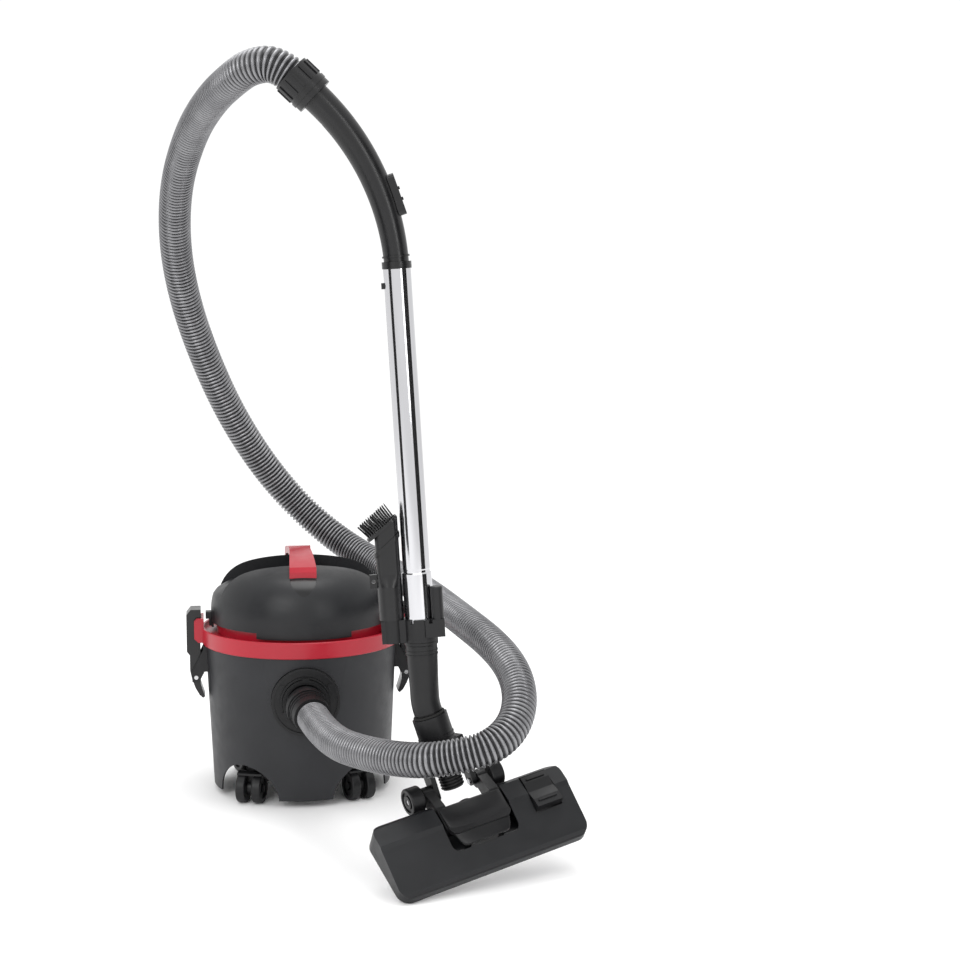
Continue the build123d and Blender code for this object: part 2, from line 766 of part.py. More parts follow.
def combo_tool():
    """Small tool: round socket, flat body and a slanted mouth for its brush."""
    body = disc(16, PEG_FOOT + 0.4, PEG_FOOT + 44)
    lower = Plane.XY.offset(PEG_FOOT + 44) * Circle(16)
    upper = Plane.XY.offset(PEG_FOOT + 60) * RectangleRounded(31, 24, 8)
    body += loft([lower, upper])
    body += extrude(Plane.XY.offset(PEG_FOOT + 60) * RectangleRounded(31, 24, 8), amount=90)
    body = split(body, bisect_by=tool_slant(118), keep=Keep.BOTTOM)
    body += tool_slant(118) * extrude(RectangleRounded(29, 49, 12), amount=4)
    collar = tool_slant(92) * extrude(RectangleRounded(80, 80, 4), amount=5)
    collar &= extrude(Plane.XY.offset(PEG_FOOT + 40) * RectangleRounded(34, 27, 9), amount=90)
    body += collar
    tab = block((-25, -14), (-2, 2), (PEG_FOOT + 42, PEG_FOOT + 60))
    body += tab - Pos(-20, 0, PEG_FOOT + 51) * Rot(90, 0, 0) * disc(2.5, -5, 5)
    body -= disc(14.25, PEG_FOOT, PEG_FOOT + 40)
    body -= extrude(Plane.XY.offset(PEG_FOOT + 39) * RectangleRounded(24, 17, 6), amount=140)
    return WAND * (Pos(TOOL_OFFSET, 0, 0) * body)


def tool_brush():
    """Oval ring of bristles on the tool's slanted mouth."""
    tuft = extrude(RectangleRounded(26, 46, 11), amount=20)
    tuft -= extrude(RectangleRounded(19, 38, 8), amount=30)
    return WAND * (Pos(TOOL_OFFSET, 0, 0) * (tool_slant(118) * (Pos(0, 0, 4) * tuft)))


# ------------------------------------------------------------------ floor head
def swivel_collar():
    """Collar that turns on the neck, with two ears down to the roller axis."""
    collar = ring(23.4, 16 + FIT, 54, NECK_DROP - 15.6)
    for height in (56, 61, 66, 71):
        collar += ring(24.2, 20, height, height + 2.2)
    for side in (-1, 1):
        low, high = sorted((side * 24.6, side * 31.6))
        profile = [(-9, 0), (9, 0), (11, 40), (11, 62), (-11, 62), (-11, 40)]
        collar += side_prism(profile, low, high)
        collar += Pos(low, 0, 0) * Rot(0, 90, 0) * disc(9, 0, high - low)
        inner, outer = sorted((side * 17, side * 31.6))
        collar += block((inner, outer), (-11, 11), (54, 62)) - disc(19, 40, 70)
    hole = Pos(-40, *ROLLER_AXIS) * Rot(0, 90, 0) * disc(4 + FIT, 0, 80)
    return NECK * collar - HEAD * hole


def flex_hose():
    """Short corrugated sleeve between the collar and the floor head."""
    points = [(12.4, 53.0)]
    steps = 13
    pitch = 53.0 / steps
    for i in range(steps):
        high = 53.0 - i * pitch
        points += [(15.6, high - pitch * 0.25), (15.6, high - pitch * 0.5)]
        points += [(13.6, high - pitch * 0.75), (13.6, high - pitch)]
    points += [(12.4, 0.0)]
    return NECK * turned(*points)


def head_outline(inset, low, high):
    """Rounded plan of the floor head between two heights."""
    plan = RectangleRounded(HEAD_LENGTH - 2 * inset, HEAD_DEPTH - 2 * inset, 17 - inset)
    return extrude(Plane.XY.offset(low) * plan, amount=high - low)


def head_profile(inset):
    """Side outline of the floor head: flat back strip and a slope to the nose."""
    half = HEAD_DEPTH / 2 - inset
    points = [
        (-half, -5),
        (-half, 10 - inset),
        (-half + 6, 16.5 - inset),
        (14, HEAD_HEIGHT - 3 - inset),
        (20, HEAD_HEIGHT - inset),
        (half - 7, HEAD_HEIGHT - inset),
        (half, HEAD_HEIGHT - 7 - inset),
        (half, -5),
    ]
    return side_prism(points, -200, 200)


def yoke_pocket():
    """U-shaped opening for the yoke, open at the back."""
    half = POCKET_HALF
    pocket = block((-half, half), (-8, 80), (12, 60))
    pocket += block((-half + 10, half - 10), (-18, 0), (12, 60))
    for side in (-1, 1):
        pocket += Pos(side * (half - 10), -8) * disc(10, 12, 60)
    return pocket


def pedal_pocket():
    """Opening for the rocker pedal in the top of the floor head."""
    return block((79.4, 119.6), (-6, 47), (14, 60))


def nozzle_cover():
    """Upper shell of the floor head."""
    shell = head_outline(0, 12.2, 60) & head_profile(0)
    shell -= head_outline(2.6, 10, 60) & head_profile(2.6)
    rim = (head_outline(0.0, 12.2, 15) - head_outline(1.2, 10, 13.6)) & head_profile(0)
    shell += rim - head_outline(2.6, 5, 60)
    return HEAD * (shell - yoke_pocket() - pedal_pocket())


def nozzle_base():
    """Lower tray of the floor head with the air channel and the pivot cheeks."""
    tray = head_outline(0, 2.5, 12) - head_outline(3, 5.5, 20)
    tray += block((-118, 118), (-34, -31), (5, 14)) + block((-118, -30), (-11, -8), (5, 14))
    tray += block((30, 118), (-11, -8), (5, 14))
    stub = Pos(0, 0, 17) * Rot(-90, 0, 0)
    tray += block((-20, 20), (-12, 16), (5, 20)) + stub * disc(12, 4, 48)
    tray -= stub * disc(9.5, 6, 60)
    tray -= block((-14, 14), (-9, 10), (6, 22))
    tray -= block((-114, 114), (-30, -12), (0, 9))
    tray -= block((-123, 123), (-45.2, -36.8), (0, 9))
    y, z = TILT_AXIS
    for side in (-1, 1):
        low, high = sorted((side * 50.2, side * 54))
        tray += block((low, high), (y - 7, y + 7), (5, z + 6))
        tray -= Pos(low - 1, y, z) * Rot(0, 90, 0) * disc(3 + FIT, 0, 7)
    for low, high in ((72, 75.5), (122.5, 126)):
        tray += block((low, high), (16, 26), (5, 29.5))
        tray -= Pos(low - 1, 21, 25) * Rot(0, 90, 0) * disc(2 + FIT, 0, 7)
    return HEAD * tray


def sole_plate():
    """Steel sole with the suction mouth and the brush slot."""
    sole = head_outline(3.5, 0, 2.5)
    sole -= block((-114, 114), (-30, -12), (-5, 9))
    sole -= block((-123, 123), (-45.2, -36.8), (-5, 9))
    return HEAD * sole


def brush_strip():
    """Carrier with a row of tufts that drops below the sole."""
    strip = block((-121, 121), (-43.6, -38.4), (6.5, 12))
    strip += block((-119, 119), (-42.2, -39.8), (0.6, 7))
    return HEAD * strip


def pedal():
    """Rocker pedal that raises and drops the brush strip."""
    outline = [(-4, 24), (-4, 38), (8, 38.5), (21, 35.6), (34, 38.5), (44, 38), (44, 24), (21, 20)]
    rocker = side_prism(outline, 80.4, 118.6)
    for y in (4, 38):
        rocker += block((86, 113), (y - 1.2, y + 1.2), (37, 40.2))
    rocker += Pos(0, 21, 25) * Rot(0, 90, 0) * disc(2, 72.5, 125.5)
    return HEAD * rocker


def yoke():
    """Plate in the floor head's pocket with two arms to the roller axis."""
    y, z = TILT_AXIS
    plate = block((-45, 45), (10, 42), (31, 37)) + block((-35, 35), (0, 12), (31, 37))
    for side in (-1, 1):
        plate += Pos(side * 35, 10) * disc(10, 31, 37)
        low, high = sorted((side * 33, side * 46.6))
        arm = [(y - 8, 13), (y - 8, 33), (44, 37), (74, 31), (82, 14), (44, 13)]
        plate += side_prism(arm, low, high)
        plate += Pos(low, *ROLLER_AXIS) * Rot(0, 90, 0) * disc(12, 0, high - low)
        low, high = sorted((side * 42, side * 53.8))
        plate += Pos(low, y, z) * Rot(0, 90, 0) * disc(3, 0, high - low)
    hole = Pos(-60, *ROLLER_AXIS) * Rot(0, 90, 0) * disc(4, 0, 120)
    return HEAD * (plate - hole)


def hinge_pins():
    """Two stub axles through the yoke, the collar's ears and the rollers."""
    pins = Part()
    for side in (-1, 1):
        low, high = sorted((side * 22.5, side * 68))
        pins += Pos(low, *ROLLER_AXIS) * Rot(0, 90, 0) * disc(4, 0, high - low)
    return HEAD * pins


def roller(side):
    """Floor roller outside one arm of the yoke."""
    low, high = sorted((side * 50.2, side * 69))
    wheel = disc(ROLLER_RADIUS, low, high)
    wheel = fillet(wheel.edges().filter_by(GeomType.CIRCLE), 2)
    cap = (67, 70) if side > 0 else (-70, -67)
    wheel -= ring(13.5, 9, *cap)
    wheel -= disc(4 + FIT, low - 1, high + 1)
    return HEAD * (Pos(0, *ROLLER_AXIS) * Rot(0, 90, 0) * wheel)


# ------------------------------------------------------------------ hose
def hose_route():
    """Points of the hose from the inlet cuff to the end of the grip."""
    start = cuff_plane().from_local_coords(Vector(0, 0, CUFF_LENGTH))
    end = grip_plane(GRIP_ARC_ANGLE).from_local_coords(Vector(0, 0, 20))
    middle = [
        (69, -420, 143),
        (126, -503, 154),
        (176, -520, 163),
        (219, -522, 174),
        (250, -500, 194),
        (265, -462, 220),
        (265, -405, 245),
        (249, -330, 265),
        (215, -210, 281),
        (181, -45, 291),
        (145, 98, 294),
        (97, 160, 316),
        (55, 188, 343),
        (4, 205, 388),
        (-50, 196, 455),
        (-98, 165, 537),
        (-135, 122, 624),
        (-163, 68, 712),
        (-177, 5, 798),
        (-173, -80, 884),
        (-149, -180, 955),
        (-121, -285, 994),
        (-93, -368, 1016),
        (-70, -404, 1030),
    ]
    first = cuff_plane().from_local_coords(Vector(0, 0, CUFF_LENGTH + 103))
    last = end + grip_plane(GRIP_ARC_ANGLE).z_dir * 44
    return [start, first] + [Vector(*p) for p in middle] + [last, end]


def corner_radii(points):
    """Radius of the arc at each inner point: 0.45 of the shorter run over tan(half turn)."""
    radii = []
    for before, here, after in zip(points, points[1:], points[2:]):
        turn = (here - before).get_angle(after - here)
        run = min((here - before).length, (after - here).length)
        radii.append(0.45 * run / tan(radians(turn / 2)))
    return radii


def hose():
    """Plain tube along the hose's route."""
    points = hose_route()
    radii = corner_radii(points)
    path = FilletPolyline(*points, radius=radii)
    start = Plane(origin=points[0], z_dir=points[1] - points[0])
    section = start * (Circle(HOSE_DIAMETER / 2) - Circle(HOSE_BORE / 2))
    tube = sweep(section, path=path)
    area = pi * (HOSE_DIAMETER**2 - HOSE_BORE**2) / 4
    print("hose length", round(path.length), "radii", [round(r) for r in radii])
    print("hose runs", [round((b - a).length) for a, b in zip(points, points[1:])])
    print("hose volume over section times length", round(tube.volume / area / path.length, 4))
    return tube


# ------------------------------------------------------------------ all nodes
def main():
    save("tub", tub())
    for number, ((x, y), angle) in enumerate(castor_places(), start=1):
        place = Pos(x, y, FLOOR) * Rot(0, 0, angle)
        save(f"castor_fork_{number}", place * castor_fork())
        save(f"castor_wheels_{number}", place * castor_wheels())
    save("rim_band", rim_band())
    save("rim_gasket", rim_gasket())
    save("inlet_flange", inlet_flange())
    save("lock_collar", lock_collar())
    save("inlet_cuff", inlet_cuff())
    save("latch_brackets", latch_brackets())
    save("latch_pins", latch_pins())
    save("latch_left", latch(-1))
    save("latch_right", latch(1))
    save("dust_bag", dust_bag())
    save("bag_collar", bag_collar())
    save("cloth_filter", cloth_filter())
    save("head_base", head_base())
    save("head_cover", head_cover())
    save("cover_screws", Part() + cover_screws())
    save("exhaust_grille", exhaust_grille())
    save("exhaust_filter", exhaust_filter())
    save("cable_gland", cable_gland())
    save("carry_handle", carry_handle())
    save("power_button", power_button())
    save("power_switch", power_switch())
    save("motor_case", motor_case())
    save("fan_case", fan_case())
    save("motor_bearings", motor_bearings())
    save("armature", armature())
    save("impeller", impeller())
    save("motor_ring", motor_ring())
    save("filter_basket", filter_basket())
    save("suppressor", suppressor())
    save("wand_tube", wand_tube())
    save("grip_handle", grip_handle())
    save("suction_slider", suction_slider())
    save("swivel_cuff", swivel_cuff())
    save("snap_button", snap_button())
    save("neck", neck())
    save("neck_seal", neck_seal())
    save("tool_holder", tool_holder())
    save("combo_tool", combo_tool())
    save("tool_brush", tool_brush())
    save("swivel_collar", swivel_collar())
    save("flex_hose", flex_hose())
    save("nozzle_cover", nozzle_cover())
    save("nozzle_base", nozzle_base())
    save("sole_plate", sole_plate())
    save("brush_strip", brush_strip())
    save("pedal", pedal())
    save("yoke", yoke())
    save("hinge_pins", hinge_pins())
    save("roller_left", roller(-1))
    save("roller_right", roller(1))
    save("hose", hose())


main()
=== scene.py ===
import math
import random

import bmesh
import bpy
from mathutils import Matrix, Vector


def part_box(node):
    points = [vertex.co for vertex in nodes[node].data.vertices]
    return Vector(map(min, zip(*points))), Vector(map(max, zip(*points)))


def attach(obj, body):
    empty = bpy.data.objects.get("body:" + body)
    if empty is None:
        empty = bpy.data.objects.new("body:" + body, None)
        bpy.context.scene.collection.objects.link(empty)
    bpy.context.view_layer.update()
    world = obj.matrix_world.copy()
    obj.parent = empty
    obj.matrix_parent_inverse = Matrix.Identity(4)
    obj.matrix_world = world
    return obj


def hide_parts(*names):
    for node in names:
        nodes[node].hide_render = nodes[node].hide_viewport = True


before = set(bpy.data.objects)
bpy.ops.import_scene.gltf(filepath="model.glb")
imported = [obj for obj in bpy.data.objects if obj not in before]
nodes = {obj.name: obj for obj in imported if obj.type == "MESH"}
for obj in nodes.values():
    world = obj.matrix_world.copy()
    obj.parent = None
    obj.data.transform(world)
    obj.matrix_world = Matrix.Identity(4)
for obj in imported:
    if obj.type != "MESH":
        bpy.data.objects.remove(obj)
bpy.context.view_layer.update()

# ------------------------------------------------------------------ driving values, in metres
CAMERA_PLACE = (-0.2149, -2.8805, 0.859)
CAMERA_DOWN = math.radians(7.32)
CAMERA_YAW = math.radians(7.26)  # towards +X
LENS_MM = 78.75
SENSOR_MM = 36.0

RIB_PITCH = 0.0062
RIB_RADIUS = 0.0230
GROOVE_RADIUS = 0.0190
HOSE_SIDES = 40
RIB_PROFILE = (0.0, 0.40, 0.93, 1.0, 0.93, 0.40)  # groove to rib and back, over one pitch
DIRECTION_REACH = 3  # steps each way that a direction along the hose is taken over

# The hose from the inlet cuff, forward and round the wand, over the head and up to the grip.
HOSE_ROUTE = [
    (-0.0838, 0.0006, 0.1547),
    (-0.0684, -0.1009, 0.1470),
    (-0.0215, -0.2030, 0.1520),
    (0.0355, -0.2860, 0.1630),
    (0.0855, -0.3030, 0.1720),
    (0.1285, -0.3050, 0.1830),
    (0.1595, -0.2830, 0.2030),
    (0.1745, -0.2450, 0.2290),
    (0.1745, -0.1880, 0.2540),
    (0.1585, -0.1130, 0.2740),
    (0.1245, 0.0070, 0.2900),
    (0.0905, 0.1720, 0.3000),
    (0.0545, 0.3150, 0.3030),
    (0.0065, 0.3770, 0.3250),
    (-0.0355, 0.4050, 0.3520),
    (-0.0865, 0.4220, 0.3970),
    (-0.1405, 0.4130, 0.4640),
    (-0.1885, 0.3820, 0.5460),
    (-0.2255, 0.3390, 0.6330),
    (-0.2535, 0.2850, 0.7210),
    (-0.2675, 0.2220, 0.8070),
    (-0.2635, 0.1370, 0.8930),
    (-0.2395, 0.0370, 0.9640),
    (-0.2115, -0.0680, 1.0030),
    (-0.1835, -0.1510, 1.0250),
    (-0.1605, -0.1870, 1.0390),
    (-0.1260, -0.2066, 1.0412),
    (-0.0942, -0.2089, 1.0109),
]

# The wand's own axis and its side towards +X.
WAND_AXIS = Vector((-0.0592, 0.0153, 0.9981)).normalized()
WAND_SIDE = Vector((0.9964, -0.0600, 0.0600))
MOUTH_TILT = (-0.62, 0.785)  # side and height parts of the way the mouth faces
TUFT_LENGTH = 0.019
TUFT_RADIUS = 0.00095
TUFT_COLUMNS = 14
TUFT_ROWS = 6
BRUSH_HALF = (0.0205, 0.0105)  # half the length and width of the field of tufts
TUFT_LEAN = (0.0018, 0.0012)  # how far the outermost tips lean out, along and across
TUFT_WOBBLE = 0.0004

# The floor head's frame: its middle on the sole, the way along it and the way out of its top.
HEAD_PLACE = Vector((0.115, -0.272, 0.0523))
HEAD_ALONG = Vector((0.910546, 0.374371, 0.175367)).normalized()
HEAD_UP = Vector((0.10909, -0.626747, 0.771549)).normalized()
HEAD_BACK = HEAD_UP.cross(HEAD_ALONG)
APRON_THICKNESS = 0.0035
APRON_HEIGHT = 0.0392
APRON_BREAK = 0.014  # in front of this the apron slopes down
APRON_SLOPE = 0.30
APRON_CROWN = 0.0012  # how far its side edges drop
APRON_COLUMNS = 16
# Distance back and half width of each row across the apron, from its front edge.
APRON_ROWS = [
    (-0.0155, 0.028),
    (-0.0135, 0.034),
    (-0.008, 0.0375),
    (0.0, 0.040),
    (0.010, 0.043),
    (0.020, 0.0445),
    (0.030, 0.045),
    (0.0385, 0.045),
    (0.0405, 0.0445),
]


# ------------------------------------------------------------------ materials
def new_material(name):
    """Material with an empty node tree, its shader and its object coordinates."""
    material = bpy.data.materials.new(name)
    material.use_nodes = True
    tree = material.node_tree
    tree.nodes.clear()
    shader = tree.nodes.new("ShaderNodeBsdfPrincipled")
    output = tree.nodes.new("ShaderNodeOutputMaterial")
    tree.links.new(shader.outputs["BSDF"], output.inputs["Surface"])
    place = tree.nodes.new("ShaderNodeTexCoord").outputs["Object"]
    return material, tree, shader, place


def noise(tree, place, scale, detail=3.0, stretch=(1, 1, 1)):
    """Noise value over the object, stretched along its axes."""
    mapping = tree.nodes.new("ShaderNodeMapping")
    mapping.inputs["Scale"].default_value = stretch
    tree.links.new(place, mapping.inputs["Vector"])
    texture = tree.nodes.new("ShaderNodeTexNoise")
    texture.inputs["Scale"].default_value = scale
    texture.inputs["Detail"].default_value = detail
    tree.links.new(mapping.outputs["Vector"], texture.inputs["Vector"])
    return texture.outputs["Fac"]


def spread(tree, value, low, high):
    """Noise value mapped from its usual middle range to a range of numbers."""
    node = tree.nodes.new("ShaderNodeMapRange")
    node.inputs["From Min"].default_value = 0.3
    node.inputs["From Max"].default_value = 0.7
    node.inputs["To Min"].default_value = low
    node.inputs["To Max"].default_value = high
    tree.links.new(value, node.inputs["Value"])
    return node.outputs["Result"]


def blend_colours(tree, value, first, second):
    """Mix of two colours by a value."""
    node = tree.nodes.new("ShaderNodeMix")
    node.data_type = "RGBA"
    node.inputs["A"].default_value = (*first, 1)
    node.inputs["B"].default_value = (*second, 1)
    tree.links.new(value, node.inputs["Factor"])
    return node.outputs["Result"]


def add_bump(tree, shader, height, strength, distance):
    """Fine relief on the shader's normal."""
    bump = tree.nodes.new("ShaderNodeBump")
    bump.inputs["Strength"].default_value = strength
    bump.inputs["Distance"].default_value = distance
    tree.links.new(height, bump.inputs["Height"])
    tree.links.new(bump.outputs["Normal"], shader.inputs["Normal"])


def plastic(name, colour, roughness, grain=1400, relief=0.25, coat=0.0, shift=0.18):
    """Moulded plastic with a spark-eroded grain and slight cloudiness."""
    material, tree, shader, place = new_material(name)
    cloud = spread(tree, noise(tree, place, 14, 4), 0, 1)
    light = [min(1, c * (1 + shift)) for c in colour]
    dark = [c * (1 - shift) for c in colour]
    tree.links.new(blend_colours(tree, cloud, dark, light), shader.inputs["Base Color"])
    rough = spread(tree, noise(tree, place, 55, 5), roughness - 0.05, roughness + 0.05)
    tree.links.new(rough, shader.inputs["Roughness"])
    shader.inputs["Specular IOR Level"].default_value = 0.36
    shader.inputs["Coat Weight"].default_value = coat
    shader.inputs["Coat Roughness"].default_value = 0.22
    add_bump(tree, shader, noise(tree, place, grain, 2), relief, 0.0002)
    return material


def metal(name, colour, roughness, stretch=(1, 1, 1), scale=300, relief=0.05):
    """Metal with drawn or turned marks along one axis."""
    material, tree, shader, place = new_material(name)
    marks = noise(tree, place, scale, 4, stretch)
    dark = [c * 0.86 for c in colour]
    shade = blend_colours(tree, spread(tree, marks, 0, 1), dark, colour)
    tree.links.new(shade, shader.inputs["Base Color"])
    rough = spread(tree, marks, roughness * 0.8, roughness * 1.3)
    tree.links.new(rough, shader.inputs["Roughness"])
    shader.inputs["Metallic"].default_value = 1.0
    add_bump(tree, shader, marks, relief, 0.0001)
    return material


def woven(name, colour, thread):
    """Cloth or paper with crossed threads."""
    material, tree, shader, place = new_material(name)
    height = None
    for direction in ("X", "Z"):
        wave = tree.nodes.new("ShaderNodeTexWave")
        wave.bands_direction = direction
        wave.inputs["Scale"].default_value = thread
        wave.inputs["Distortion"].default_value = 0.6
        tree.links.new(place, wave.inputs["Vector"])
        if height is None:
            height = wave.outputs["Fac"]
        else:
            join = tree.nodes.new("ShaderNodeMath")
            join.operation = "MAXIMUM"
            tree.links.new(height, join.inputs[0])
            tree.links.new(wave.outputs["Fac"], join.inputs[1])
            height = join.outputs[0]
    dark = [c * 0.8 for c in colour]
    tree.links.new(blend_colours(tree, height, dark, colour), shader.inputs["Base Color"])
    shader.inputs["Roughness"].default_value = 0.85
    add_bump(tree, shader, height, 0.4, 0.0003)
    return material


def paint(material, *names):
    """Give CAD nodes a material."""
    for name in names:
        slots = nodes[name].data.materials
        slots.clear()
        slots.append(material)


def numbered(name, count):
    """Names of a numbered group of nodes."""
    return [f"{name}_{i}" for i in range(1, count + 1)]


def paint_cad():
    """Materials for everything that stays as its CAD node."""
    tub_plastic = plastic("tub_plastic", (0.017, 0.0175, 0.020), 0.47, 1500, 0.3)
    dome_plastic = plastic("dome_plastic", (0.011, 0.0115, 0.013), 0.42, 1700, 0.22)
    black = plastic("black_plastic", (0.007, 0.007, 0.0078), 0.41, 1600, 0.22)
    satin = plastic("satin_black", (0.0055, 0.0055, 0.0062), 0.32, 1800, 0.12, coat=0.15)
    red = plastic("red_plastic", (0.38, 0.008, 0.022), 0.33, 1500, 0.12, coat=0.2, shift=0.05)
    rubber = plastic("rubber", (0.012, 0.012, 0.012), 0.72, 700, 0.3)
    foam = plastic("foam", (0.05, 0.05, 0.052), 0.92, 420, 0.9)
    chrome = metal("chrome", (0.66, 0.66, 0.68), 0.06, (1, 1, 0.05), 60, 0.01)
    steel = metal("steel", (0.62, 0.62, 0.63), 0.3, (1, 1, 8), 120)
    zinc = metal("zinc_steel", (0.5, 0.51, 0.53), 0.38, (1, 1, 12), 60)
    copper = metal("copper_windings", (0.62, 0.28, 0.13), 0.4, (1, 1, 30), 90, 0.3)
    paper = woven("filter_paper", (0.70, 0.62, 0.50), 260)
    cloth = woven("filter_cloth", (0.80, 0.80, 0.78), 330)
    paint(tub_plastic, "tub")
    paint(dome_plastic, "head_cover", "head_base", "nozzle_cover", "nozzle_base", "exhaust_grille")
    paint(black, "lock_collar", "inlet_flange", "inlet_cuff", "latch_brackets", "tool_holder", "neck")
    paint(black, "swivel_collar", "yoke", "pedal", "filter_basket", "power_switch", "suppressor")
    paint(black, *numbered("castor_fork", 4), *numbered("castor_wheels", 4), "roller_left")
    paint(black, "roller_right", "impeller", "snap_button", "flex_hose", "brush_strip")
    paint(satin, "latch_left", "latch_right", "grip_handle", "suction_slider", "swivel_cuff")
    paint(satin, "combo_tool", "power_button")
    paint(red, "rim_band", "carry_handle")
    paint(rubber, "rim_gasket", "motor_ring", "cable_gland", "neck_seal")
    paint(foam, "exhaust_filter")
    paint(chrome, "wand_tube")
    paint(steel, "latch_pins", "cover_screws", "hinge_pins", "sole_plate", "motor_bearings")
    paint(zinc, "motor_case", "fan_case")
    paint(copper, "armature")
    paint(paper, "dust_bag", "bag_collar")
    paint(cloth, "cloth_filter")


# ------------------------------------------------------------------ mesh helpers
def finish_piece(name, mesh_data, material, body, smooth=True):
    """Turn a bmesh into a piece that rides on a CAD body."""
    mesh = bpy.data.meshes.new(name)
    bmesh.ops.recalc_face_normals(mesh_data, faces=mesh_data.faces)
    mesh_data.to_mesh(mesh)
    mesh_data.free()
    for face in mesh.polygons:
        face.use_smooth = smooth
    piece = bpy.data.objects.new(name, mesh)
    bpy.context.scene.collection.objects.link(piece)
    mesh.materials.append(material)
    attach(piece, body)
    return piece


def tapered_tuft(mesh_data, foot, tip, radius, sides=5):
    """One tuft: a thin cone with a blunt tip."""
    along = (tip - foot).normalized()
    across = along.orthogonal().normalized()
    other = along.cross(across)
    rings = []
    for centre, width in ((foot, radius), (tip, radius * 0.6)):
        loop = []
        for i in range(sides):
            turn = 2 * math.pi * i / sides
            offset = (across * math.cos(turn) + other * math.sin(turn)) * width
            loop.append(mesh_data.verts.new(centre + offset))
        rings.append(loop)
    low, high = rings
    for i in range(sides):
        j = (i + 1) % sides
        mesh_data.faces.new((low[i], low[j], high[j], high[i]))
    mesh_data.faces.new(high)
    mesh_data.faces.new(list(reversed(low)))


# ------------------------------------------------------------------ hose
def route_line():
    """Smooth line of the hose: a NURBS spline with the route's points as control points."""
    curve = bpy.data.curves.new("hose_route", "CURVE")
    curve.dimensions = "3D"
    curve.resolution_u = 24
    spline = curve.splines.new("NURBS")
    spline.points.add(len(HOSE_ROUTE) - 1)
    for point, place in zip(spline.points, HOSE_ROUTE):
        point.co = (*place, 1)
    spline.order_u = 3
    spline.use_endpoint_u = True
    carrier = bpy.data.objects.new("hose_route", curve)
    bpy.context.scene.collection.objects.link(carrier)
    line = bpy.data.meshes.new_from_object(carrier)
    points = [v.co.copy() for v in line.vertices]
    bpy.data.meshes.remove(line)
    bpy.data.objects.remove(carrier)
    return points


def walk(points, step):
    """Places and directions at even steps along a line."""
    lengths = [0.0]
    for a, b in zip(points, points[1:]):
        lengths.append(lengths[-1] + (b - a).length)
    count = int(lengths[-1] / step)
    places = []
    index = 0
    for i in range(count + 1):
        target = lengths[-1] * i / count
        while index < len(points) - 2 and lengths[index + 1] < target:
            index += 1
        run = lengths[index + 1] - lengths[index]
        share = (target - lengths[index]) / run if run > 0 else 0
        places.append(points[index].lerp(points[index + 1], share))
    directions = []
    for i in range(len(places)):
        before = places[max(0, i - DIRECTION_REACH)]
        after = places[min(len(places) - 1, i + DIRECTION_REACH)]
        directions.append((after - before).normalized())
    return places, directions


def hose_material():
    """Silver-grey plastic, with painted shade darkening its grooves."""
    material, tree, shader, place = new_material("hose_plastic")
    groove_shade = tree.nodes.new("ShaderNodeAttribute")
    groove_shade.attribute_name = "groove_shade"
    cloud = spread(tree, noise(tree, place, 30, 4), 0, 1)
    rib_colour = blend_colours(tree, cloud, (0.21, 0.21, 0.22), (0.29, 0.29, 0.30))
    # Painted shade: the rib colour is mixed towards near-black by each vertex's groove shade value.
    mix = tree.nodes.new("ShaderNodeMix")
    mix.data_type = "RGBA"
    mix.inputs["B"].default_value = (0.006, 0.006, 0.007, 1)
    tree.links.new(groove_shade.outputs["Fac"], mix.inputs["Factor"])
    tree.links.new(rib_colour, mix.inputs["A"])
    tree.links.new(mix.outputs["Result"], shader.inputs["Base Color"])
    rough = spread(tree, noise(tree, place, 200, 3), 0.24, 0.36)
    tree.links.new(rough, shader.inputs["Roughness"])
    shader.inputs["Metallic"].default_value = 0.6
    add_bump(tree, shader, noise(tree, place, 900, 2), 0.1, 0.0001)
    return material


def corrugated_hose():
    """Ribbed tube along the hose's line, closed at both ends inside its cuffs."""
    line = route_line()
    places, directions = walk(line, RIB_PITCH / len(RIB_PROFILE))
    mesh_data = bmesh.new()
    groove_shade_layer = mesh_data.verts.layers.float.new("groove_shade")
    across = directions[0].orthogonal().normalized()
    rings = []
    for i, (centre, along) in enumerate(zip(places, directions)):
        across = (across - along * across.dot(along)).normalized()
        other = along.cross(across)
        share = RIB_PROFILE[i % len(RIB_PROFILE)]
        radius = GROOVE_RADIUS + (RIB_RADIUS - GROOVE_RADIUS) * share
        loop = []
        for k in range(HOSE_SIDES):
            turn = 2 * math.pi * k / HOSE_SIDES
            vertex = mesh_data.verts.new(
                centre + (across * math.cos(turn) + other * math.sin(turn)) * radius
            )
            # Painted groove shade: full near-black in the grooves, fading out to none on the rib
            # crests.
            vertex[groove_shade_layer] = min(1.0, (1 - share) * 1.3)
            loop.append(vertex)
        rings.append(loop)
    for low, high in zip(rings, rings[1:]):
        for k in range(HOSE_SIDES):
            j = (k + 1) % HOSE_SIDES
            mesh_data.faces.new((low[k], low[j], high[j], high[k]))
    mesh_data.faces.new(rings[-1])
    mesh_data.faces.new(list(reversed(rings[0])))
    hose = finish_piece("corrugated_hose", mesh_data, hose_material(), "tub")
    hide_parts("hose")


# ------------------------------------------------------------------ bristles
def bristle_material():
    """Nylon tufts."""
    return plastic("bristle_nylon", (0.02, 0.02, 0.021), 0.42, 2500, 0.1)


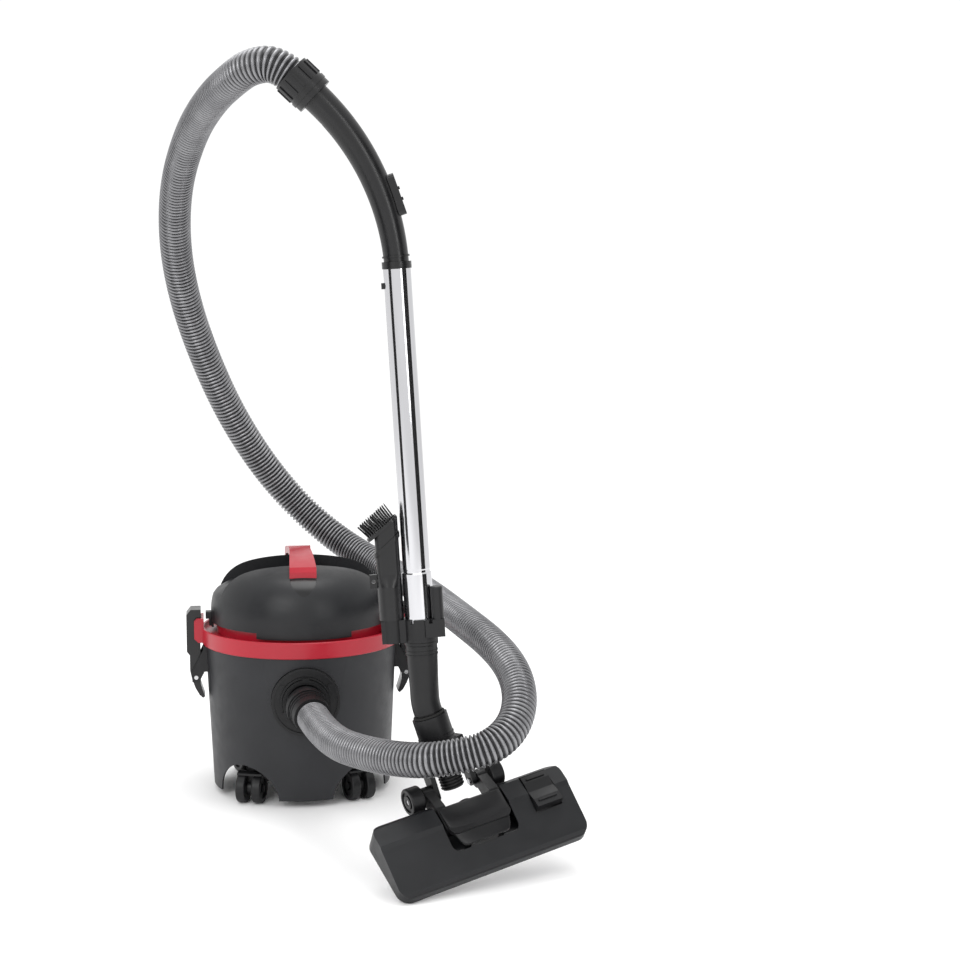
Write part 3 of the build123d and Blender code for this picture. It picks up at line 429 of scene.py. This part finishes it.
def tool_bristles(material):
    """Rows of tufts that fan out of the small tool's slanted mouth."""
    random.seed(7)
    front = WAND_AXIS.cross(WAND_SIDE)
    out = (WAND_SIDE * MOUTH_TILT[0] + WAND_AXIS * MOUTH_TILT[1]).normalized()
    slope = front.cross(out)
    low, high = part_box("tool_brush")
    centre = (low + high) / 2 - out * TUFT_LENGTH / 2
    mesh_data = bmesh.new()
    half_columns = (TUFT_COLUMNS - 1) / 2
    half_rows = (TUFT_ROWS - 1) / 2
    for column in range(TUFT_COLUMNS):
        for row in range(TUFT_ROWS):
            u = (column - half_columns) / half_columns
            v = (row - half_rows) / half_rows
            if u * u * 0.85 + v * v * 0.5 > 1.25:  # rounds the corners of the field
                continue
            foot = centre + front * (v * BRUSH_HALF[1]) + slope * (u * BRUSH_HALF[0])
            lean = front * (v * TUFT_LEAN[1]) + slope * (u * TUFT_LEAN[0])
            wobble = Vector([random.uniform(-TUFT_WOBBLE, TUFT_WOBBLE) for _ in range(3)])
            tip = foot + out * TUFT_LENGTH + lean + wobble
            tapered_tuft(mesh_data, foot, tip, TUFT_RADIUS)
    piece = finish_piece("tool_bristles", mesh_data, material, "combo_tool", smooth=False)
    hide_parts("tool_brush")


# ------------------------------------------------------------------ floor head
def head_point(along, back, up):
    """Point given in the floor head's frame."""
    return HEAD_PLACE + HEAD_ALONG * along + HEAD_BACK * back + HEAD_UP * up


def yoke_apron():
    """Shield over the head's pocket that slopes with the head towards its front."""
    mesh_data = bmesh.new()
    layers = []
    for drop in (0.0, APRON_THICKNESS):
        sheet = []
        for back, half in APRON_ROWS:
            crest = APRON_HEIGHT - max(0.0, APRON_BREAK - back) * APRON_SLOPE
            line = []
            for i in range(APRON_COLUMNS + 1):
                share = 2 * i / APRON_COLUMNS - 1
                height = crest - APRON_CROWN * share**4 - drop
                line.append(mesh_data.verts.new(head_point(half * share, back, height)))
            sheet.append(line)
        layers.append(sheet)
    top, low = layers
    last = len(APRON_ROWS) - 1
    for r in range(last):
        for i in range(APRON_COLUMNS):
            mesh_data.faces.new((top[r][i], top[r][i + 1], top[r + 1][i + 1], top[r + 1][i]))
            mesh_data.faces.new((low[r][i], low[r + 1][i], low[r + 1][i + 1], low[r][i + 1]))
        for i in (0, APRON_COLUMNS):
            mesh_data.faces.new((top[r][i], top[r + 1][i], low[r + 1][i], low[r][i]))
    for r in (0, last):
        for i in range(APRON_COLUMNS):
            mesh_data.faces.new((top[r][i], low[r][i], low[r][i + 1], top[r][i + 1]))
    material = plastic("apron_plastic", (0.007, 0.007, 0.0078), 0.36, 1700, 0.15)
    piece = finish_piece("yoke_apron", mesh_data, material, "yoke", smooth=False)
    edge = piece.modifiers.new("edge", "BEVEL")
    edge.width = 0.0008
    edge.segments = 2
    edge.limit_method = "ANGLE"
    piece.data.shade_smooth()


# ------------------------------------------------------------------ stage
def studio():
    """Pale floor and a plain pale world."""
    mesh_data = bmesh.new()
    bmesh.ops.create_grid(mesh_data, x_segments=1, y_segments=1, size=9)
    mesh = bpy.data.meshes.new("floor")
    mesh_data.to_mesh(mesh)
    mesh_data.free()
    floor = bpy.data.objects.new("floor", mesh)
    bpy.context.scene.collection.objects.link(floor)
    material, _, shader, _ = new_material("floor_white")
    shader.inputs["Base Color"].default_value = (0.97, 0.97, 0.97, 1)
    shader.inputs["Roughness"].default_value = 0.9
    shader.inputs["Specular IOR Level"].default_value = 0.1
    mesh.materials.append(material)
    world = bpy.data.worlds.new("studio")
    world.use_nodes = True
    world.node_tree.nodes["Background"].inputs["Color"].default_value = (1, 1, 1, 1)
    world.node_tree.nodes["Background"].inputs["Strength"].default_value = 1.05
    bpy.context.scene.world = world
    bpy.context.scene.view_settings.view_transform = "Standard"


def soft_light(name, place, target, size, power):
    """Square area light aimed at a point."""
    lamp = bpy.data.lights.new(name, "AREA")
    lamp.shape = "RECTANGLE"
    lamp.size, lamp.size_y = size
    lamp.energy = power
    holder = bpy.data.objects.new(name, lamp)
    bpy.context.scene.collection.objects.link(holder)
    holder.location = place
    aim = Vector(target) - Vector(place)
    holder.rotation_euler = aim.to_track_quat("-Z", "Y").to_euler()


def dark_panel(name, place, target, width, height):
    """Dark card out of view, for the chrome tube to reflect."""
    mesh_data = bmesh.new()
    bmesh.ops.create_grid(mesh_data, x_segments=1, y_segments=1, size=0.5)
    mesh = bpy.data.meshes.new(name)
    mesh_data.to_mesh(mesh)
    mesh_data.free()
    card = bpy.data.objects.new(name, mesh)
    bpy.context.scene.collection.objects.link(card)
    card.location = place
    card.visible_camera = False
    card.visible_diffuse = False
    card.visible_shadow = False
    card.scale = (width, height, 1)
    aim = Vector(target) - Vector(place)
    card.rotation_euler = aim.to_track_quat("Z", "Y").to_euler()
    material, _, shader, _ = new_material(name)
    shader.inputs["Base Color"].default_value = (0.015, 0.015, 0.015, 1)
    shader.inputs["Roughness"].default_value = 1.0
    mesh.materials.append(material)


def camera():
    """Camera at the product picture's angle."""
    data = bpy.data.cameras.new("camera")
    data.lens = LENS_MM
    data.sensor_width = SENSOR_MM
    holder = bpy.data.objects.new("camera", data)
    bpy.context.scene.collection.objects.link(holder)
    holder.location = CAMERA_PLACE
    holder.rotation_euler = (math.pi / 2 - CAMERA_DOWN, 0, -CAMERA_YAW)
    bpy.context.scene.camera = holder


camera()
corrugated_hose()
studio()
soft_light("key", (-1.6, -2.6, 2.3), (0, 0, 0.4), (1.2, 1.8), 34)
soft_light("fill", (1.5, -2.9, 1.5), (0, 0, 0.4), (0.5, 2.2), 16)
soft_light("top", (0, 0.3, 2.9), (0, 0, 0.3), (1.6, 1.6), 26)
dark_panel("card_right", (1.75, -1.35, 0.9), (0.05, -0.2, 0.5), 1.5, 2.6)
dark_panel("card_left", (-1.75, -0.9, 0.9), (0.05, -0.2, 0.5), 0.9, 2.6)
paint_cad()
tool_bristles(bristle_material())
yoke_apron()
